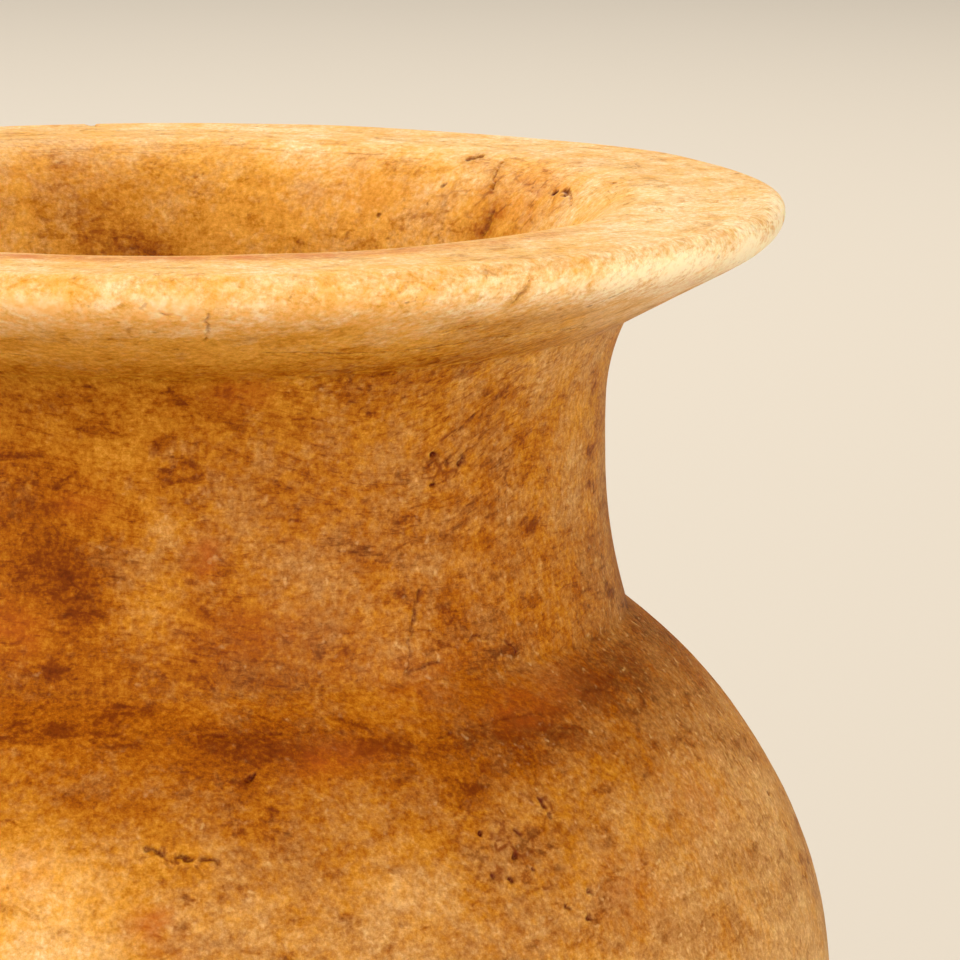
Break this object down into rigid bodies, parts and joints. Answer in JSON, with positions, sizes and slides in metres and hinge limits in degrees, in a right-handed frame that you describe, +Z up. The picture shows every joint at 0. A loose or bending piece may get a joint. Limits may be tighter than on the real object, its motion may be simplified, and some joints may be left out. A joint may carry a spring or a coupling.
{
  "type": "alabaster pot",
  "caption": "Round-bodied stone pot with a small flat base, a drawn-in neck and a wide flat-topped rim, hollow and open at the mouth.",
  "frame": {"origin": "middle of the flat base's underside", "axes": "+Z up along the pot's axis of revolution; +X and +Y are alike in the solid, and -Y is the side that the picture shows"},
  "size_m": [0.153, 0.153, 0.16],
  "materials": {
    "alabaster": "worn polish on translucent honey-brown alabaster, with faint turning marks, darker stains and small pits"
  },
  "bodies": {
    "root": {"pot": "alabaster"}
  },
  "joints": []
}
